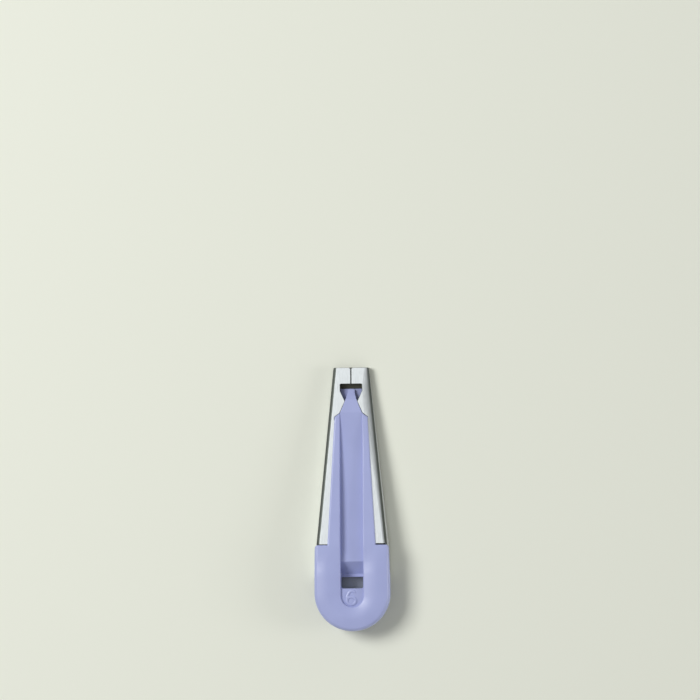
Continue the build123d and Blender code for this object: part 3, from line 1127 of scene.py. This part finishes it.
def tongueSolid():
    # widens and rises from the core's front edge to the channel's floor
    t = toolSizes
    g = guideSizes
    tip = t["tongueTip"]
    waist = g["waistAt"]
    crest = g["crestAt"]
    root = t["tongueRoot"]
    crestTop = lipHeight(crest)
    rootTop = channelFloor(root)
    rootHalf = t["channelHalf"] - t["hair"]
    seat = guideUnder(tip) - t["fabricGap"] - t["noseDrop"]
    tipTop = seat + g["tipStep"]
    firstRow, noseEnd = g["tongueRows"]
    waistSteps, crestSteps, rootSteps = g["tongueSteps"]
    rows = [tip, tip + firstRow, tip + noseEnd]
    rows += spaced(tip + noseEnd, waist, waistSteps)
    rows += spaced(waist, crest, crestSteps)
    rows += spaced(crest, root, rootSteps)
    rows += [root + g["tongueOverlap"]]
    angles = sweepAngles(g["wallSteps"], quarter)
    loops = []
    for back in rows:
        half = g["tongueTipHalf"]
        half += (g["waistHalf"] - g["tongueTipHalf"]) * shareAlong(tip, waist, back)
        half += (rootHalf - g["waistHalf"]) * shareAlong(waist, root, back) ** g["tongueFlare"]
        top = tipTop + (crestTop - tipTop) * shareAlong(tip, crest, back) ** g["tongueEase"]
        top += (rootTop - crestTop) * shareAlong(crest, root, back)
        if back > root:
            top = channelFloor(back) - g["tongueSink"]
        nose = max(0, 1 - (back - tip) / noseEnd)
        top -= g["tongueNoseCut"] * nose * nose
        half -= g["tongueNoseCut"] * nose * nose
        bottom = seat + (guideUnder(root) - seat) * smoothStep(waist, root, back)
        bottom = min(bottom, top - g["tongueThin"])
        radius = min(g["tongueRound"], t["roundLimit"] * (top - bottom))
        right = arcPoints(half - radius, top - radius, radius, radius, angles)
        left = [(-x, z) for x, z in right]
        outline = [(-half, bottom)] + left + right[::-1] + [(half, bottom)]
        loops.append([place(x, back, z) for x, z in outline])
    return solidFrom("tongue", loops)


def roundBar(name, radius, start, end):
    axis = (Vector(end) - Vector(start)).normalized()
    side = axis.orthogonal().normalized()
    up = axis.cross(side)
    angles = circleAngles(guideSizes["barSides"])
    loops = []
    for point in (Vector(start), Vector(end)):
        loops.append([point + radius * (side * math.cos(a) + up * math.sin(a)) for a in angles])
    return solidFrom(name, loops)


def sweptBead(name, line, closed, level):
    # a flattened round bead that follows points given as (x, back)
    g = guideSizes
    endShare, endGrowth = g["strokeEnd"]
    last = len(line) - 1
    loops = []
    for i, point in enumerate(line):
        ahead = line[(i + 1) % len(line)] if closed else line[min(i + 1, last)]
        behind = line[i - 1] if closed else line[max(i - 1, 0)]
        along = (Vector(ahead) - Vector(behind)).normalized()
        side = Vector((-along.y, along.x))
        share = 1
        if not closed:  # an open bead's ends are rounded
            share = min(1, endShare + endGrowth * min(i, last - i))
        loop = []
        for angle in circleAngles(g["strokeSides"]):
            spot = Vector(point) + side * g["strokeHalf"] * share * math.cos(angle)
            z = level + g["strokeHigh"] * share * math.sin(angle)
            loop.append(place(spot.x, spot.y, z))
        loops.append(loop)
    if closed:
        loops.append(loops[0])
    return solidFrom(name, loops, not closed)


def raisedNumeral(level):
    # a nine, read from the tip's side
    g = guideSizes
    x = g["numeralX"]
    back = g["bowlAt"]
    aside, ahead = g["tailShift"]
    steps = g["tailSteps"]
    bowl = arcPoints(x, back, *g["bowlHalf"], circleAngles(g["bowlSteps"]))
    turns = [math.pi * (1 + g["tailSweep"] * k / steps) for k in range(steps + 1)]
    tail = [(x - g["bowlHalf"][0], back + ahead)]
    tail += arcPoints(x + aside, back - ahead, *g["tailHalf"], turns)
    return [sweptBead("bowl", bowl, True, level), sweptBead("tail", tail, False, level)]


def makeGuide(g):
    t = toolSizes
    inner = t["rearWidth"] / 2 - t["sheet"] - t["fit"]
    made = sweptArms()
    combine(made, guidePockets(inner), "DIFFERENCE")
    print("rails and head swept", len(made.data.polygons), "faces")
    parts = [channelPlate(), recessPlug(), keelBlade(), tongueSolid()]
    parts += raisedNumeral(railTop(g["levelAt"]) - g["recessDepth"])
    under = t["sheet"] + t["fabricGap"] + t["fit"]
    for back in g["pegPlaces"]:
        ends = [place(0, back, z) for z in (under, guideUnder(back) + g["pegInto"])]
        parts.append(roundBar("peg", g["pegRadius"], *ends))
    bossReach = (inner - g["bossInto"], t["rearWidth"] / 2 - t["fit"])
    for side in (-1, 1):
        ends = [place(side * x, shellSizes["bossAt"], shellSizes["bossHeight"]) for x in bossReach]
        parts.append(roundBar("boss", g["bossRadius"], *ends))
    combine(made, parts, "UNION")
    finishPiece(made, "web_guide", plastic, g["sharpDegrees"])


makeGuide(guideSizes)


# Folding core: a rounded wedge inside the shell

# the same lavender plastic, painted darker as shade, since the core lies deep under the lips
coreShadeFinish = {
    **plasticFinish,
    "colour": (0.275, 0.305, 0.53, 1),
    "paler": (0.29, 0.32, 0.55, 1),
    "roughness": 0.36,
    "sparkDepth": 0.0000022,
}

coreSizes = {
    "under": 1.0,
    "end": 57.4,
    "dropAt": 55.17,
    "soleEnd": 50.0,
    "rearThickness": 0.8,
    "rearRadius": 5.0,
    "rearSteps": 12,
    "sideGap": 1.0,
    "edgeRadius": 0.2,
    "edgeSteps": 4,
    "noseRadius": 0.2,
    "noseSteps": 5,
    "rows": (8.0, 10.0, 12.0, 14.0, 16.0, 20.0, 28.0, 36.0, 44.0),
    "sharpDegrees": 33,
}


def coreLoop(c, back, inset):
    t = toolSizes
    g = guideSizes
    outer = t["tipWidth"] + (t["rearWidth"] - t["tipWidth"]) * min(back / t["lipEnd"], 1)
    half = outer / 2 - c["sideGap"] - inset
    turned = c["rearRadius"] - c["end"] + back
    if turned > 0:
        half += math.sqrt(c["rearRadius"] ** 2 - turned ** 2) - c["rearRadius"]
    fall = (t["headUnder"] - rampUnderside()) / (g["rampEnd"] - g["rampStart"])
    ceiling = guideUnder(min(back, t["headFront"])) - t["fabricGap"]
    ceiling -= t["noseDrop"] * (1 - smoothStep(t["tongueTip"], t["noseDropEnd"], back))
    top = ceiling - fall * max(back - c["dropAt"], 0) - inset
    endTop = ceiling - fall * (c["end"] - c["dropAt"])
    rise = (endTop - c["rearThickness"] - c["under"]) / (c["end"] - c["soleEnd"])
    low = c["under"] + rise * max(back - c["soleEnd"], 0) + inset
    radius = min(c["edgeRadius"], t["roundLimit"] * (top - low))
    corners = [(half, low, radius), (half, top, radius), (-half, top, radius), (-half, low, radius)]
    outline = roundedCorners(corners, c["edgeSteps"])
    return [place(point.x, back, point.y) for point in outline]


def makeCore(c):
    tip = toolSizes["tongueTip"]
    radius = c["noseRadius"]
    rows = []
    for k in range(c["noseSteps"] + 1):
        angle = quarter * (1 - k / c["noseSteps"])
        rows.append((tip + radius * (1 - math.sin(angle)), radius * (1 - math.cos(angle))))
    straightEnd = c["end"] - c["rearRadius"]
    for back in (*c["rows"], toolSizes["lipEnd"], c["soleEnd"], straightEnd):
        rows.append((back, 0))
    for angle in sweepAngles(c["rearSteps"], quarter)[1:]:
        rows.append((c["end"] - c["rearRadius"] * (1 - math.sin(angle)), 0))
    made = solidFrom("core_moulding", [coreLoop(c, back, inset) for back, inset in rows])
    # painted shade: the core's copy of the plastic is darker
    shadedCoreMaterial = mouldedPlastic("core_plastic_painted_shade", coreShadeFinish)
    finishPiece(made, "folding_core", shadedCoreMaterial, c["sharpDegrees"])


makeCore(coreSizes)


# Floor, lights and camera

studio = {
    "floorColour": (0.80, 0.82, 0.72, 1),
    "floorRoughness": 0.9,
    "floorSize": 1.6,
    "floorDrop": 0.00002,
    "worldColour": (1, 1, 1, 1),
    "worldLight": 0.25,
    "glow": 2.2,
    "glowFall": 3.0,
    "reflectedLow": 0.55,
    "reflectedEdge": (0.5, 0.93),
    "reflectedLean": 0.36,
}

lamps = {
    "key": {"power": 10.7, "size": 0.52, "distance": 1.2, "from": (-0.57, 0.26, 0.74)},
    "fill": {"power": 3.6, "size": 0.4, "distance": 1.4, "from": (0.93, -0.05, 0.36)},
}

view = {
    "distance": 2.5,
    "millimetresPerPixel": 0.2792,
    "pixels": 700,
    "across": 0.92,
    "up": -41.6,
    "yaw": 0.7,
    "lean": 5.0,
    "sensor": 36.0,
    "nearest": 0.01,
    "farthest": 20.0,
}


def makeFloor(s):
    material, tree = startMaterial("pale_floor")
    finishMaterial(tree, {"Base Color": s["floorColour"], "Roughness": s["floorRoughness"]})
    half = s["floorSize"] / 2
    corners = []
    for x, y in ((-half, -half), (half, -half), (half, half), (-half, half)):
        corners.append((x, y, -s["floorDrop"]))
    mesh = bpy.data.meshes.new("floor")
    mesh.from_pydata(corners, [], [range(len(corners))])
    floor = newObject("floor", mesh)
    mesh.materials.append(material)


def makeLamp(name, lamp):
    # aimed at the middle of the floor
    light = bpy.data.lights.new(name, "AREA")
    light.energy = lamp["power"]
    light.size = lamp["size"]
    made = newObject(name, light)
    position = Vector(lamp["from"]).normalized() * lamp["distance"]
    made.location = position
    made.rotation_euler = (-position).to_track_quat("-Z", "Y").to_euler()


def makeWorld(s):
    # an even light, a low glow from the right, and a brighter surround where metal mirrors it
    world = bpy.data.worlds.new("studio")
    bpy.context.scene.world = world
    world.use_nodes = True
    tree = world.node_tree
    tree.nodes.clear()

    def calc(operation, *sources):
        return mathNode(tree, operation, *sources)

    ray = addNode(tree, "ShaderNodeLightPath").outputs
    way = axesOf(tree, coordinates(tree, "Generated"))
    base = s["worldLight"]
    height = calc("SUBTRACT", way["Z"], calc("MULTIPLY", way["X"], s["reflectedLean"]))
    mirrored = remap(tree, height, s["reflectedEdge"], (s["reflectedLow"] - base, 1.0 - base))
    below = calc("SUBTRACT", 1.0, calc("MAXIMUM", way["Z"], 0.0))
    low = calc("POWER", below, s["glowFall"])
    glow = calc("MULTIPLY", calc("MULTIPLY", calc("MAXIMUM", way["X"], 0.0), low), s["glow"])
    glow = calc("MULTIPLY", glow, ray["Is Diffuse Ray"])
    glossy = calc("MULTIPLY", ray["Is Glossy Ray"], mirrored)
    seen = calc("MULTIPLY", ray["Is Camera Ray"], 1.0 - base)
    background = addNode(tree, "ShaderNodeBackground", {
        "Color": s["worldColour"],
        "Strength": calc("ADD", calc("ADD", base, glow), calc("ADD", glossy, seen)),
    })
    addNode(tree, "ShaderNodeOutputWorld", {"Surface": background.outputs[0]})


def makeCamera(v):
    data = bpy.data.cameras.new("camera")
    camera = newObject("camera", data)
    width = v["pixels"] * v["millimetresPerPixel"] * mm
    data.sensor_width = v["sensor"]
    data.lens = v["sensor"] * v["distance"] / width
    data.clip_start = v["nearest"]
    data.clip_end = v["farthest"]
    yaw = Matrix.Rotation(math.radians(-v["yaw"]), 4, "Z")
    turn = yaw @ Matrix.Rotation(math.radians(v["lean"]), 4, "Y")
    aim = turn @ Vector((-v["across"] * mm, -v["up"] * mm, 0))
    camera.matrix_world = Matrix.Translation(aim) @ turn @ Matrix.Translation((0, 0, v["distance"]))
    bpy.context.scene.camera = camera


makeFloor(studio)
makeWorld(studio)
for name, lamp in lamps.items():
    makeLamp(name, lamp)
makeCamera(view)
bpy.context.scene.view_settings.view_transform = "Standard"
print("floor, lights and camera made")
